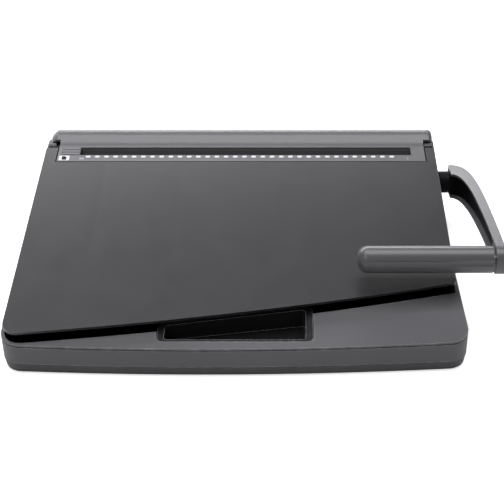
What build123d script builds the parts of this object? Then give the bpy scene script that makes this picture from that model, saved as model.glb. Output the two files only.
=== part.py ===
"""Comb binding machine: vertical punch, wire closer under the lid, pull handle on the right.

Millimetres. +X right, +Y to the rear, +Z up, origin at table level under the centre foot.
"""

import os
from math import acos, atan2, cos, pi, radians, sin, sqrt, tan

from build123d import *

# Driving dimensions of the case
HALF_WIDTH = 182.0
FLARE = 4.0
FLARE_START_Y = -50.0
FLARE_RADIUS = 150.0
REAR_Y = 140.0
FRONT_LEFT_Y = -137.0
FRONT_RIGHT_Y = -133.5
FRONT_BOW_Y = -142.0
CORNER_RADIUS = 16.0
REAR_CORNER_RADIUS = 9.0
SHELL = 3.0
SOLE_Z = -2.2
FOOT_TOP_Z = 3.0
PAN_BOTTOM = -1.2
PAN_UNDERSIDE = 1.0
PAN_SKIRT = 5.0
PAN_FLOOR = 5.0
PAN_TAPER = 10
PARTING_Z = 7.0
FRONT_TOP_Z = 25.1
SLOPE = 7.0
GROOVE_DEPTH = 0.8
GROOVE_TOP = 1.3
GROOVE_BOTTOM = 2.2
DECK_SETBACK = -2.5
RIM_LAND = 2.6
LEDGE_INNER = 170.0
CORNER_RELIEFS = [(-1, -97.5), (1, -57.0)]
RELIEF_LENGTH = 60.0
REAR_RIM = 8.0
FOOT_PLACES = [(-150, -112), (150, -112), (-150, 118), (150, 118), (0, 0)]
FOOT_RADIUS = 9.0
BOSS_PLACES = [(-175.5, -92.0), (177.5, -92.0), (-175.5, 20.0), (175.5, 20.0)]
BOSS_PLACES += [(-171.0, 133.5), (171.0, 133.5)]
BOSS_RADIUS = 5.0
BOSS_TOP_Z = 26.0
FLANGE_SCREW_PLACES = [(x, y) for x in (-167.0, 167.0) for y in (54.0, 104.0)]

# Lid
LID_HALF_WIDTH = 180.0
LID_FRONT_Z = 34.5
LID_FRONT_Y = -132.0
LID_SKIN = 2.4
LID_DEPTH = 7.0
LID_WALL = 2.5
LID_UNDERCUT = 9.0
LID_LEFT_FRONT = (-LID_HALF_WIDTH, -134.5)
LID_MID_FRONT = (0.0, -111.0)
LID_RIGHT_FRONT = (LID_HALF_WIDTH, -75.5)
LID_LEFT_RADIUS = 12.0
LID_RIGHT_RADIUS = 3.0
BUMPER_PLACES = [(-174.0, -88.0), (174.0, -50.0)]
BUMPER_RADIUS = 2.5
EAR_REAR_Y = 110.5
TONGUE_LEFT = -168.0
TONGUE_RIGHT = 170.5
TONGUE_FRONT_Y = 89.5
GAP = 0.6
TONGUE_GAP = 1.0
HINGE_Y = 116.5
HINGE_Z = 61.3
KNUCKLE_RADIUS = 3.8
KNUCKLE_INNER = 171.6
KNUCKLE_OUTER = 178.6
HINGE_PIN_RADIUS = 1.5
RUN = 0.05

# Finger well
WELL_LEFT = -59.5
WELL_RIGHT = 63.0
WELL_FRONT_Y = -133.0
WELL_FLOOR_Z = 10.5
WELL_RADIUS = 5.0
WELL_WALL = 2.6
WELL_LIP = 3.0
WELL_REAR_SETBACK = 7.0
WELL_CLEARANCE = 0.5
WELL_DROP = 1.0

# Rear cover and paper slot
COVER_LEFT = -178.0
COVER_RIGHT = 180.0
COVER_WALL = 2.0
COVER_LIFT = 0.8
CREST_Y = 127.0
CREST_Z = 70.0
NOTCH_REAR_Y = 120.8
COVER_LEFT_RADIUS = 7.0
COVER_RIGHT_RADIUS = 5.0
SLOT_LEFT = -164.5
SLOT_RIGHT = 158.0
SLOT_FRONT_Y = 99.0
SLOT_REAR_Y = 111.0
THROAT_FRONT_Y = 103.5
THROAT_REAR_Y = 106.5
LINER_BOTTOM_Z = 53.3
LINER_WALL = 1.4
GUIDE_LEFT = -164.3
GUIDE_RIGHT = -147.5
GUIDE_DEPTH = 11.2
GUIDE_THICK = 2.2
GUIDE_PROUD = 0.4
GUIDE_FIN_WIDTH = 4.0
GUIDE_FIN_DEPTH = 6.0

# Punch block
PIN_COUNT = 34
PIN_PITCH = 25.4 / 3
PIN_RADIUS = 2.0
PIN_HOLE_RADIUS = 2.08
PIN_Z = 44.0
PIN_TIP_Y = 109.5
PIN_HEAD_RADIUS = 3.0
PIN_HEAD = 2.0
BLOCK_BOTTOM_Z = 33.0
BLOCK_TOP_Z = 53.0
BLOCK_HALF = 159.9
GUIDE_FRONT_Y = 97.0
DIE_REAR_Y = 112.0
PAPER_STOP_Z = 39.5
BAR_FRONT_Y = 80.0
BAR_REAR_Y = 86.0
BAR_BOTTOM_Z = 39.0
BAR_TOP_Z = 49.0
BAR_HALF = 151.9
STRIP_THICK = 3.0

# Side frames
FRAME_INNER = 160.0
FRAME_THICK = 2.0
FRAME_FRONT_Y = 50.0
FRAME_REAR_Y = 130.0
FLANGE_OUTER = 172.0
FOOT_REAR_Y = 112.0
TIE_ROD_PLACES = [(56.0, 12.0, 4.0), (104.5, 27.0, 3.5)]
PLATE_SCREW_PLACES = [(y, z) for y in (100.25, 109.25) for z in (36.2, 50.2)]
BRACKET_SCREW_PLACES = [(116.5, 44.0), (123.0, 44.0)]
BRACKET_INNER = 162.0
BRACKET_OUTER = 165.8
BRACKET_BOTTOM_Z = 38.0
BRACKET_TOP_Z = 56.0

# Drive train: handle pinion, reduction gear, drive pinions, racks
HANDLE_Y = 89.0
HANDLE_Z = 40.0
HANDLE_MODULE = 1.25
HANDLE_TEETH = 10
REDUCTION_TEETH = 24
DRIVE_MODULE = 1.5
DRIVE_TEETH = 20
PRESSURE_ANGLE = radians(25)
ADDENDUM = 0.8
DEDENDUM = 1.05
BACKLASH = 0.12
SHAFT_Z = 27.0
CENTRE_DISTANCE = HANDLE_MODULE * (HANDLE_TEETH + REDUCTION_TEETH) / 2
SHAFT_Y = HANDLE_Y - sqrt(CENTRE_DISTANCE**2 - (HANDLE_Z - SHAFT_Z) ** 2)
SHAFT_RADIUS = 6.0
HANDLE_SHAFT_RADIUS = 4.5
GEAR_LEFT = 164.0
GEAR_RIGHT = 172.0
RACK_INNER = 152.0
RACK_OUTER = 158.0
RACK_FRONT_Y = 62.0
RACK_REAR_Y = 88.0
RACK_TOP_Z = 48.5
RACK_SHOE_BOTTOM = 43.9
RACK_SHOE_TOP = 47.9
RACK_SHOE_FRONT_Y = 64.0
RACK_SHOE_REAR_Y = 72.0
STROKE = 9.3
SHOE_SLOT_FRONT_Y = RACK_SHOE_FRONT_Y - STROKE - 1
SHOE_SLOT_REAR_Y = RACK_SHOE_REAR_Y + 0.6
MESH_ANGLE = atan2(SHAFT_Z - HANDLE_Z, SHAFT_Y - HANDLE_Y)
PINION_BORE = 3.2
JOURNAL_RADIUS = 3.18
FRAME_HOLE_RADIUS = 6.5
HANDLE_HOLE_RADIUS = 7.0
SHAFT_HOLE_RADIUS = 9.0

# Closer under the lid
BED_TOP_Z = 29.5
BED_FRONT_Y = -42.0
BED_REAR_Y = 49.0
BED_HALF = 156.0
JAW_FRONT_Y = -3.0
JAW_TOP_Z = 43.5
JAW_THICK = 3.0
COMB_SLOT_WIDTH = 2.4
COMB_SLOT_DEPTH = 4.0
ANVIL_FRONT_Y = 16.0
ANVIL_HALF = 140.0
STRAP_INNER = 143.0
STRAP_OUTER = 150.0
STRAP_THICK = 2.5
ANVIL_REAR_Y = 38.0
ANVIL_SCREW_X = (-100.0, 100.0)
ANVIL_SCREW_Y = 24.0
TRAY_WALL = 2.5
TROUGH_FLOOR_Z = 13.0
TROUGH_HALF = 151.0
TROUGH_REAR_Y = -15.5
GUARD_TOP_Z = 52.0
GUARD_THICK = 1.7
GUARD_REAR_Y = 86.0
APRON_TOP_Z = 15.0
APRON_WALL = 2.0
APRON_SETBACK = 8.4
APRON_HALF = 168.5

# Chip tray
TRAY_HALF = 150.0
TRAY_FRONT_Y = 98.0
TRAY_BOTTOM_Z = 9.0
TRAY_TOP_Z = 22.0
CHIP_WALL = 1.8
PULL_HALF = 22.0

# Handle
HUB_RADIUS = 10.0
HUB_LEFT = 183.0
HUB_RIGHT = 193.5
ARM_HEIGHT = 24.0
ARM_BAND = 7.5
ARM_WALL = 2.0
ARM_TAPER = radians(1.9)
GRIP_Y = -72.5
GRIP_Z = 62.0
GRIP_RADIUS = 11.0
GRIP_LEFT = 99.0
GRIP_RIGHT = 207.5
GRIP_SPLIT_Z = 0.2
GRIP_ROD_RADIUS = 4.0
GRIP_END_RADIUS = 8.5
GRIP_GROOVE_RADIUS = 4.8
GRIP_GROOVE_REACH = 14.9
GRIP_GROOVE_ANGLE = radians(15)
GRIP_GROOVE_LEFT = 106.0
ARM_END_X = 217.0
ARM_INNER_X = ARM_END_X - ARM_BAND
ARM_LENGTH = sqrt((GRIP_Z - HANDLE_Z) ** 2 + (HANDLE_Y - GRIP_Y) ** 2)
ARM_ROOT_REAR = 13.0
ARM_ROOT_FRONT = -10.5
ARM_POCKET_END_Y = GRIP_Y + GRIP_RADIUS + 4
CORE_RECESS = 4.0

SCREW_RADIUS = 1.5
SCREW_HOLE = 1.55
SCREW_HEAD_RADIUS = 2.9


def rim_z(y):
    """Height of the housing's sloping rim at y."""
    return FRONT_TOP_Z + tan(radians(SLOPE)) * (y - FRONT_BOW_Y)


def lid_z(y):
    """Height of the lid's top face at y."""
    return LID_FRONT_Z + tan(radians(SLOPE)) * (y - LID_FRONT_Y)


def sloping_plane(y, z):
    """A plane through (0, y, z) tilted like the lid, its own y axis running up the slope."""
    angle = radians(SLOPE)
    return Plane(origin=(0, y, z), x_dir=(1, 0, 0), z_dir=(0, -sin(angle), cos(angle)))


def on_slope(y, start):
    """Distance along the slope from start to y."""
    return (y - start) / cos(radians(SLOPE))


def box_between(low, high, mode=Mode.ADD):
    """A box from its low corner to its high corner."""
    size = [high[i] - low[i] for i in range(3)]
    with Locations(tuple(low)):
        Box(*size, align=(Align.MIN, Align.MIN, Align.MIN), mode=mode)


def rod_x(x_from, x_to, y, z, radius, mode=Mode.ADD):
    """A round bar along X."""
    with Locations(Location((x_from, y, z), (0, 90, 0))):
        Cylinder(radius, x_to - x_from, align=(Align.CENTER, Align.CENTER, Align.MIN), mode=mode)


def rod_z(x, y, z_from, z_to, radius, mode=Mode.ADD):
    """A round bar along Z."""
    with Locations((x, y, z_from)):
        Cylinder(radius, z_to - z_from, align=(Align.CENTER, Align.CENTER, Align.MIN), mode=mode)


def rod_y(x, z, y_from, y_to, radius, mode=Mode.ADD):
    """A round bar along Y."""
    with Locations(Location((x, y_to, z), (90, 0, 0))):
        Cylinder(radius, y_to - y_from, align=(Align.CENTER, Align.CENTER, Align.MIN), mode=mode)


def case_outline(inset=0.0):
    """Plan of the case: bowed front, right side flared near the front, rounded corners."""
    side = HALF_WIDTH - inset
    rear_y = REAR_Y - inset
    front_left = (-side, FRONT_LEFT_Y + inset)
    front_right = (side + FLARE, FRONT_RIGHT_Y + inset)
    with BuildSketch() as plan:
        with BuildLine():
            ThreePointArc(front_left, (0, FRONT_BOW_Y + inset), front_right)
            Polyline(front_right, (side, FLARE_START_Y), (side, rear_y), (-side, rear_y), front_left)
        make_face()
        fillet(plan.vertices().sort_by(Axis.Y)[2], FLARE_RADIUS)
        fillet(plan.vertices().sort_by(Axis.Y)[:2], CORNER_RADIUS - inset)
        fillet(plan.vertices().sort_by(Axis.Y)[-2:], REAR_CORNER_RADIUS - inset)
    return plan.sketch


def case_below(height, inset=0.0):
    """The case's plan above the parting line, cut off by the slope at height on the front edge."""
    with BuildPart() as solid:
        with BuildSketch(Plane.XY.offset(PARTING_Z)):
            add(case_outline(inset))
        extrude(amount=CREST_Z)
        split(bisect_by=sloping_plane(FRONT_BOW_Y, height), keep=Keep.BOTTOM)
    return solid.part


def make_base_pan():
    with BuildPart() as pan:
        with BuildSketch(Plane.XY.offset(PARTING_Z - GAP / 2)):
            add(case_outline())
        extrude(amount=PAN_BOTTOM - PARTING_Z + GAP / 2, taper=PAN_TAPER)
        with BuildSketch(Plane.XY.offset(PAN_FLOOR)):
            add(case_outline(SHELL))
        extrude(amount=PARTING_Z, mode=Mode.SUBTRACT)
        with BuildSketch(Plane.XY.offset(SOLE_Z)):
            add(case_outline(PAN_SKIRT))
        extrude(amount=PAN_UNDERSIDE - SOLE_Z, mode=Mode.SUBTRACT)
        for x, y in FOOT_PLACES:
            rod_z(x, y, SOLE_Z, FOOT_TOP_Z + 0.01, FOOT_RADIUS + 0.2, Mode.SUBTRACT)
        for x, y in BOSS_PLACES + FLANGE_SCREW_PLACES:
            rod_z(x, y, SOLE_Z, PAN_FLOOR + 1, SCREW_HOLE, Mode.SUBTRACT)
            rod_z(x, y, SOLE_Z, PAN_UNDERSIDE + 1.1, SCREW_HEAD_RADIUS + 0.2, Mode.SUBTRACT)
    return pan


def make_rubber_feet():
    with BuildPart() as feet:
        for x, y in FOOT_PLACES:
            rod_z(x, y, SOLE_Z, FOOT_TOP_Z, FOOT_RADIUS)
        chamfer(feet.faces().group_by(Axis.Z)[0].edges(), 0.5)
    return feet


def well_outline(inset=0.0, side_inset=0.0):
    """Plan of the finger well: its rear wall runs along the lid's slanting edge."""
    left = WELL_LEFT + inset + side_inset
    right = WELL_RIGHT - inset - side_inset
    front = WELL_FRONT_Y + inset
    setback = WELL_REAR_SETBACK - inset
    with BuildSketch() as plan:
        with BuildLine():
            Polyline(
                (left, front),
                (right, front),
                (right, lid_edge_y(right) + setback),
                (left, lid_edge_y(left) + setback),
                close=True,
            )
        make_face()
        fillet(plan.vertices(), WELL_RADIUS - inset)
    return plan.sketch


def lid_edge_y(x):
    """Y of the lid's slanting front edge at x, as a shallow parabola through its three points."""
    slope = (LID_RIGHT_FRONT[1] - LID_LEFT_FRONT[1]) / (2 * LID_HALF_WIDTH)
    chord_mid = (LID_LEFT_FRONT[1] + LID_RIGHT_FRONT[1]) / 2
    bulge = chord_mid - LID_MID_FRONT[1]
    return chord_mid + slope * x - bulge * (1 - (x / LID_HALF_WIDTH) ** 2)


def under_lid_outline(setback, half, rear_y):
    """Plan of a space under the lid; its front runs along the lid's edge, set back from it."""
    front = [(x, y + setback) for x, y in (LID_LEFT_FRONT, LID_MID_FRONT, LID_RIGHT_FRONT)]
    with BuildSketch() as plan:
        with BuildLine():
            ThreePointArc(*front)
            Polyline(front[2], (LID_HALF_WIDTH, rear_y), (-LID_HALF_WIDTH, rear_y), front[0])
        make_face()
        Rectangle(2 * half, 3 * REAR_Y, mode=Mode.INTERSECT)
    return plan.sketch


def corner_relief(side, rear_y):
    """Plan of the opening's extra width under one front corner of the lid."""
    with BuildSketch() as plan:
        add(under_lid_outline(DECK_SETBACK, LID_HALF_WIDTH, REAR_Y - REAR_RIM))
        with Locations((side * LID_HALF_WIDTH, rear_y - RELIEF_LENGTH / 2)):
            Rectangle(4 * (LID_HALF_WIDTH - LEDGE_INNER), RELIEF_LENGTH, mode=Mode.INTERSECT)
    return plan.sketch


def deck_opening():
    """Plan of the housing's opening under the lid, kept inside a narrow rim."""
    with BuildSketch() as plan:
        add(under_lid_outline(DECK_SETBACK, LEDGE_INNER, REAR_Y - REAR_RIM))
        for side, rear_y in CORNER_RELIEFS:
            add(corner_relief(side, rear_y))
        add(case_outline(RIM_LAND), mode=Mode.INTERSECT)
    return plan.sketch


def rim_groove():
    """The shadow groove just under the housing's top edge."""
    with BuildPart() as groove:
        add(case_below(FRONT_TOP_Z - GROOVE_TOP, -1.0))
        add(case_below(FRONT_TOP_Z - GROOVE_TOP, GROOVE_DEPTH), mode=Mode.SUBTRACT)
        split(bisect_by=sloping_plane(FRONT_BOW_Y, FRONT_TOP_Z - GROOVE_BOTTOM), keep=Keep.TOP)
    return groove.part


def make_upper_housing():
    with BuildPart() as housing:
        add(case_below(FRONT_TOP_Z))
        add(case_below(FRONT_TOP_Z - SHELL, SHELL), mode=Mode.SUBTRACT)
        add(rim_groove(), mode=Mode.SUBTRACT)
        with BuildSketch(Plane.XY.offset(PARTING_Z)):
            add(deck_opening())
        extrude(amount=CREST_Z, mode=Mode.SUBTRACT)
        with BuildSketch(Plane.XY.offset(PARTING_Z)):
            add(well_outline(-WELL_CLEARANCE))
        extrude(amount=CREST_Z, mode=Mode.SUBTRACT)
        for x, y in BOSS_PLACES:
            rod_z(x, y, PARTING_Z, BOSS_TOP_Z, BOSS_RADIUS)
        for x, y in BOSS_PLACES:
            rod_z(x, y, 0, BOSS_TOP_Z - 3, SCREW_HOLE, Mode.SUBTRACT)
        rod_x(175, HALF_WIDTH + 1, HANDLE_Y, HANDLE_Z, HANDLE_HOLE_RADIUS, Mode.SUBTRACT)
        box_between(
            (-TRAY_HALF - GAP, REAR_Y - 10, TRAY_BOTTOM_Z - GAP),
            (TRAY_HALF + GAP, REAR_Y + 5, TRAY_TOP_Z + GAP),
            Mode.SUBTRACT,
        )
    return housing


def make_finger_well():
    with BuildPart() as well:
        with BuildSketch(Plane.XY.offset(WELL_FLOOR_Z)):
            add(well_outline())
        extrude(amount=40)
        split(bisect_by=sloping_plane(FRONT_BOW_Y, FRONT_TOP_Z - WELL_DROP), keep=Keep.BOTTOM)
        with BuildSketch(Plane.XY.offset(WELL_FLOOR_Z + WELL_WALL)):
            add(well_outline(WELL_WALL, WELL_LIP))
        extrude(amount=40, mode=Mode.SUBTRACT)
    return well


def lid_outline(setback=0.0):
    """Plan of the lid on its own sloping plane, with the cut-out that clears the slot tongue."""
    rear = on_slope(EAR_REAR_Y, LID_FRONT_Y)
    notch = on_slope(TONGUE_FRONT_Y - TONGUE_GAP, LID_FRONT_Y)
    points = [LID_LEFT_FRONT, LID_MID_FRONT, LID_RIGHT_FRONT]
    front = [(x, on_slope(y + setback, LID_FRONT_Y)) for x, y in points]
    with BuildSketch() as plan:
        with BuildLine():
            ThreePointArc(*front)
            Polyline(
                front[2],
                (LID_HALF_WIDTH, rear),
                (TONGUE_RIGHT + TONGUE_GAP, rear),
                (TONGUE_RIGHT + TONGUE_GAP, notch),
                (TONGUE_LEFT - TONGUE_GAP, notch),
                (TONGUE_LEFT - TONGUE_GAP, rear),
                (-LID_HALF_WIDTH, rear),
                front[0],
            )
        make_face()
        fillet(plan.vertices().sort_by(Axis.Y)[0], LID_LEFT_RADIUS)
        right_side = plan.vertices().filter_by(lambda vertex: vertex.X > LID_HALF_WIDTH - 1)
        fillet(right_side.sort_by(Axis.Y)[0], LID_RIGHT_RADIUS)
    return plan.sketch


def make_lid():
    top = sloping_plane(LID_FRONT_Y, LID_FRONT_Z)
    with BuildPart() as lid:
        with BuildSketch(top):
            add(lid_outline(LID_UNDERCUT))
        extrude(amount=-LID_DEPTH)
        with BuildSketch(top.offset(-LID_SKIN)):
            add(lid_outline(LID_UNDERCUT))
            offset(amount=-LID_WALL, kind=Kind.INTERSECTION)
        extrude(amount=-LID_DEPTH, mode=Mode.SUBTRACT)
        with BuildSketch(top):
            add(lid_outline())
        extrude(amount=-LID_SKIN)
        for side in (-1, 1):
            inner, outer = sorted((side * KNUCKLE_INNER, side * KNUCKLE_OUTER))
            rod_x(inner, outer, HINGE_Y, HINGE_Z, KNUCKLE_RADIUS)
            with BuildSketch(Plane.YZ.offset(inner)):
                with BuildLine():
                    Polyline(
                        (EAR_REAR_Y - 1, lid_z(EAR_REAR_Y) - LID_SKIN - 1),
                        (HINGE_Y - 1, HINGE_Z - 0.4),
                        (HINGE_Y - 1, HINGE_Z - KNUCKLE_RADIUS + 0.3),
                        (EAR_REAR_Y - 3, lid_z(EAR_REAR_Y) - LID_DEPTH + 0.6),
                        close=True,
                    )
                make_face()
            extrude(amount=outer - inner)
            rod_x(inner - 1, outer + 1, HINGE_Y, HINGE_Z, HINGE_PIN_RADIUS + RUN, Mode.SUBTRACT)
    return lid


def make_lid_bumpers():
    height = (lid_z(0) - rim_z(0)) * cos(radians(SLOPE)) - LID_SKIN - RUN
    with BuildPart() as bumpers:
        for x, y in BUMPER_PLACES:
            with BuildSketch(sloping_plane(y, rim_z(y))):
                with Locations((x, 0)):
                    Circle(BUMPER_RADIUS)
            extrude(amount=height)
    return bumpers


def cover_profile(inset=0.0):
    """Section of the rear cover in the YZ plane: flat tongue, convex crest, rear wall."""
    front = TONGUE_FRONT_Y + inset
    rear = REAR_Y - 0.5 - inset
    crest = (CREST_Y, CREST_Z - inset)
    shoulder = (SLOT_REAR_Y + 1, lid_z(SLOT_REAR_Y + 1) - inset)
    foot = COVER_LIFT - inset
    front_foot = front + (lid_z(front) - rim_z(front)) * tan(radians(SLOPE))
    wall_top = (rear, rim_z(rear) + 4)
    with BuildSketch() as section:
        with BuildLine():
            Polyline((front_foot, rim_z(front) + foot), (front, lid_z(front) - inset), shoulder)
            Spline(shoulder, crest, wall_top, tangents=[(1, 0.12), (0, -1)])
            Polyline(wall_top, (rear, rim_z(rear) + foot), (front_foot, rim_z(front) + foot))
        make_face()
    return section.sketch


def cover_end_block(end_x, radius, inset):
    """One half of the rear cover as a solid block, rounded along the top of its end."""
    low, high = sorted((0.0, end_x))
    with BuildPart() as block:
        with BuildSketch(Plane.YZ.offset(low)):
            add(cover_profile(inset))
        extrude(amount=high - low)
        crest = block.edges().filter_by(GeomType.BSPLINE)
        fillet(crest.sort_by(lambda edge: abs(edge.center().X))[-1], radius - inset)
    return block.part


def cover_block(inset=0.0):
    with BuildPart() as block:
        add(cover_end_block(COVER_LEFT + inset, COVER_LEFT_RADIUS, inset))
        add(cover_end_block(COVER_RIGHT - inset, COVER_RIGHT_RADIUS, inset))
    return block.part


def cover_ends():
    """The walls that close both ends of the slot tongue."""
    walls = [(TONGUE_LEFT, TONGUE_LEFT + COVER_WALL), (TONGUE_RIGHT - COVER_WALL, TONGUE_RIGHT)]
    with BuildPart() as ends:
        for low, high in walls:
            with BuildSketch(Plane.YZ.offset(low)):
                add(cover_profile())
            extrude(amount=high - low)
        box_between(
            (COVER_LEFT, NOTCH_REAR_Y, 0),
            (COVER_RIGHT, 2 * REAR_Y, 2 * CREST_Z),
            Mode.SUBTRACT,
        )
        rod_x(COVER_LEFT, COVER_RIGHT, HINGE_Y, HINGE_Z, HINGE_PIN_RADIUS + 0.4, Mode.SUBTRACT)
    return ends.part


def make_rear_cover():
    with BuildPart() as cover:
        add(cover_block())
        add(cover_block(COVER_WALL), mode=Mode.SUBTRACT)
        for low, high in ((COVER_LEFT - 1, TONGUE_LEFT), (TONGUE_RIGHT, COVER_RIGHT + 1)):
            box_between((low, 0, 0), (high, NOTCH_REAR_Y, 2 * CREST_Z), Mode.SUBTRACT)
        box_between(
            (SLOT_LEFT, SLOT_FRONT_Y, LINER_BOTTOM_Z),
            (SLOT_RIGHT, SLOT_REAR_Y, 2 * CREST_Z),
            Mode.SUBTRACT,
        )
        add(cover_ends())
    return cover


def make_slot_liner():
    middle_x = (SLOT_LEFT + SLOT_RIGHT) / 2
    middle_y = (THROAT_FRONT_Y + THROAT_REAR_Y) / 2
    throat = THROAT_REAR_Y - THROAT_FRONT_Y
    mouth = SLOT_REAR_Y - SLOT_FRONT_Y
    length = SLOT_RIGHT - SLOT_LEFT
    top = sloping_plane(middle_y, lid_z(middle_y) - COVER_WALL - RUN)
    with BuildPart() as liner:
        for grow, mode in ((LINER_WALL, Mode.ADD), (0.0, Mode.SUBTRACT)):
            with BuildSketch(Plane.XY.offset(LINER_BOTTOM_Z)):
                with Locations((middle_x, middle_y)):
                    Rectangle(length + 2 * grow, throat + 2 * grow)
            with BuildSketch(top):
                with Locations((middle_x, 0)):
                    Rectangle(length + 2 * grow, mouth - 0.6 + 2 * grow)
            loft(mode=mode)
    return liner


def make_edge_guide():
    middle_x = (GUIDE_LEFT + GUIDE_RIGHT) / 2
    middle_y = (THROAT_FRONT_Y + THROAT_REAR_Y) / 2
    fin_thick = THROAT_REAR_Y - THROAT_FRONT_Y - 0.4
    top = sloping_plane(middle_y, lid_z(middle_y) + GUIDE_PROUD)
    with BuildPart() as guide:
        with BuildSketch(top):
            with Locations((middle_x, 0)):
                Rectangle(GUIDE_RIGHT - GUIDE_LEFT, GUIDE_DEPTH)
        extrude(amount=-GUIDE_THICK)
        chamfer(guide.faces().sort_by(Axis.Z)[-1].edges(), 0.4)
        with BuildSketch(top):
            with Locations((middle_x, -GUIDE_DEPTH / 6), (middle_x, GUIDE_DEPTH / 6)):
                Rectangle(GUIDE_RIGHT - GUIDE_LEFT, 0.9)
        extrude(amount=-0.7, mode=Mode.SUBTRACT)
        with BuildSketch(top.offset(-GUIDE_THICK / 2)):
            with Locations((GUIDE_RIGHT - GUIDE_FIN_WIDTH, 0)):
                Rectangle(GUIDE_FIN_WIDTH, fin_thick)
        extrude(amount=-GUIDE_FIN_DEPTH)
    return guide


def frame_sheet(side):
    """Sheet metal side frame with its bent foot; side is -1 for the left and 1 for the right."""
    inner, outer = sorted((side * FRAME_INNER, side * (FRAME_INNER + FRAME_THICK)))
    with BuildPart() as sheet:
        box_between((inner, FRAME_FRONT_Y, PAN_FLOOR), (outer, FRAME_REAR_Y, BLOCK_TOP_Z))
        foot_low, foot_high = sorted((side * FRAME_INNER, side * FLANGE_OUTER))
        box_between(
            (foot_low, FRAME_FRONT_Y, PAN_FLOOR),
            (foot_high, FOOT_REAR_Y, PAN_FLOOR + FRAME_THICK),
        )
        rod_x(inner - 1, outer + 1, SHAFT_Y, SHAFT_Z, SHAFT_HOLE_RADIUS, Mode.SUBTRACT)
        for y, z, hole in TIE_ROD_PLACES:
            rod_x(inner - 1, outer + 1, y, z, SCREW_HOLE, Mode.SUBTRACT)
        for y, z in PLATE_SCREW_PLACES + BRACKET_SCREW_PLACES:
            rod_x(inner - 1, outer + 1, y, z, SCREW_HOLE, Mode.SUBTRACT)
        box_between(
            (inner - 1, SHOE_SLOT_FRONT_Y, RACK_SHOE_BOTTOM - RUN),
            (outer + 1, SHOE_SLOT_REAR_Y, RACK_SHOE_TOP + RUN),
            Mode.SUBTRACT,
        )
        for x, y in FLANGE_SCREW_PLACES:
            rod_z(x, y, 0, PAN_FLOOR + 5, SCREW_HOLE, Mode.SUBTRACT)
        if side > 0:
            rod_x(inner - 1, outer + 1, HANDLE_Y, HANDLE_Z, FRAME_HOLE_RADIUS, Mode.SUBTRACT)
    return sheet


def make_tie_rods():
    with BuildPart() as rods:
        for y, z, radius in TIE_ROD_PLACES:
            rod_x(-FRAME_INNER, FRAME_INNER, y, z, radius)
            for side in (-1, 1):
                low, high = sorted((side * (FRAME_INNER - 9), side * (FRAME_INNER + 1)))
                rod_x(low, high, y, z, SCREW_HOLE, Mode.SUBTRACT)
    return rods


def side_screws(places, reach):
    """Pan-head screws driven through both side frames; reach is the shank length inside."""
    face = FRAME_INNER + FRAME_THICK
    for side in (-1, 1):
        for y, z in places:
            low, high = sorted((side * face, side * (face + 1.8)))
            rod_x(low, high, y, z, SCREW_HEAD_RADIUS)
            low, high = sorted((side * (FRAME_INNER - reach), side * face))
            rod_x(low, high, y, z, SCREW_RADIUS)


def make_frame_screws():
    with BuildPart() as screws:
        side_screws([(y, z) for y, z, radius in TIE_ROD_PLACES], 8)
        side_screws(PLATE_SCREW_PLACES, 8)
    return screws


def make_pan_screws():
    with BuildPart() as screws:
        for x, y in BOSS_PLACES:
            rod_z(x, y, PAN_UNDERSIDE + 0.1, PAN_UNDERSIDE + 1.1, SCREW_HEAD_RADIUS)
            rod_z(x, y, PAN_UNDERSIDE + 1.1, BOSS_TOP_Z - 6, SCREW_RADIUS)
        for x, y in FLANGE_SCREW_PLACES:
            rod_z(x, y, PAN_UNDERSIDE + 0.1, PAN_UNDERSIDE + 1.1, SCREW_HEAD_RADIUS)
            rod_z(x, y, PAN_UNDERSIDE + 1.1, PAN_FLOOR + FRAME_THICK, SCREW_RADIUS)
            rod_z(x, y, PAN_FLOOR + FRAME_THICK, PAN_FLOOR + FRAME_THICK + 1.6, SCREW_HEAD_RADIUS)
    return screws


def punched_plate(front, rear, hole_radius):
    """A full-width plate with the row of pin holes through it."""
    with BuildPart() as plate:
        box_between((-BLOCK_HALF, front, BLOCK_BOTTOM_Z), (BLOCK_HALF, rear, BLOCK_TOP_Z))
        with BuildSketch(Plane.XZ.offset(-rear - 1)):
            with GridLocations(PIN_PITCH, 1, PIN_COUNT, 1):
                with Locations((0, PIN_Z)):
                    Circle(hole_radius)
        extrude(amount=rear - front + 2, mode=Mode.SUBTRACT)
        for side in (-1, 1):
            for y, z in PLATE_SCREW_PLACES:
                if front < y < rear:
                    low, high = sorted((side * (BLOCK_HALF - 9), side * (BLOCK_HALF + 1)))
                    rod_x(low, high, y, z, SCREW_HOLE, Mode.SUBTRACT)
    return plate


def make_paper_stop():
    with BuildPart() as stop:
        box_between(
            (-BLOCK_HALF, THROAT_FRONT_Y, BLOCK_BOTTOM_Z),
            (BLOCK_HALF, THROAT_REAR_Y, PAPER_STOP_Z),
        )
    return stop


def make_punch_pins():
    with BuildPart() as pins:
        for number in range(PIN_COUNT):
            x = (number - (PIN_COUNT - 1) / 2) * PIN_PITCH
            rod_y(x, PIN_Z, BAR_FRONT_Y + RUN, PIN_TIP_Y, PIN_RADIUS)
            rod_y(x, PIN_Z, BAR_FRONT_Y + RUN, BAR_FRONT_Y + PIN_HEAD, PIN_HEAD_RADIUS)
    return pins


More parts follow.
